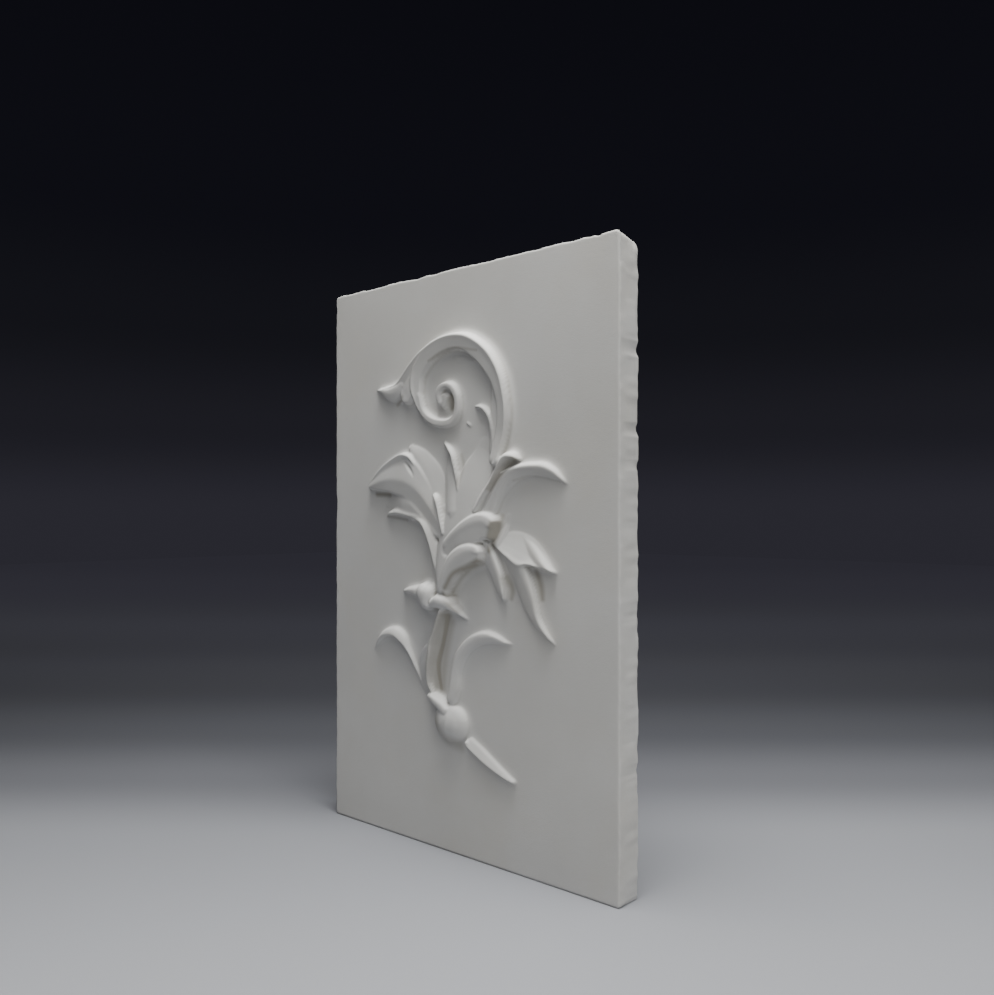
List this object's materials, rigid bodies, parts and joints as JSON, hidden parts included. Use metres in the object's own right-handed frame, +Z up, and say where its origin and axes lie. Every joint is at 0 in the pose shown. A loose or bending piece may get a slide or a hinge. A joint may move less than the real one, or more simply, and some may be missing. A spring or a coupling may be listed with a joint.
{
  "type": "plaster bas-relief",
  "caption": "Upright plaster slab, cast in one piece, with a curling acanthus scroll and leaves standing out in relief on its front.",
  "frame": {"origin": "middle of the slab's underside, halfway through its thickness, where the panel stands", "axes": "+Z up along the slab's height, +X to the right as seen from the carved front, +Y out of the plain back"},
  "size_m": [0.4, 0.047, 0.6],
  "materials": {
    "plaster": "matt cast plaster, bare"
  },
  "bodies": {
    "root": {"relief_panel": "plaster"}
  },
  "joints": []
}
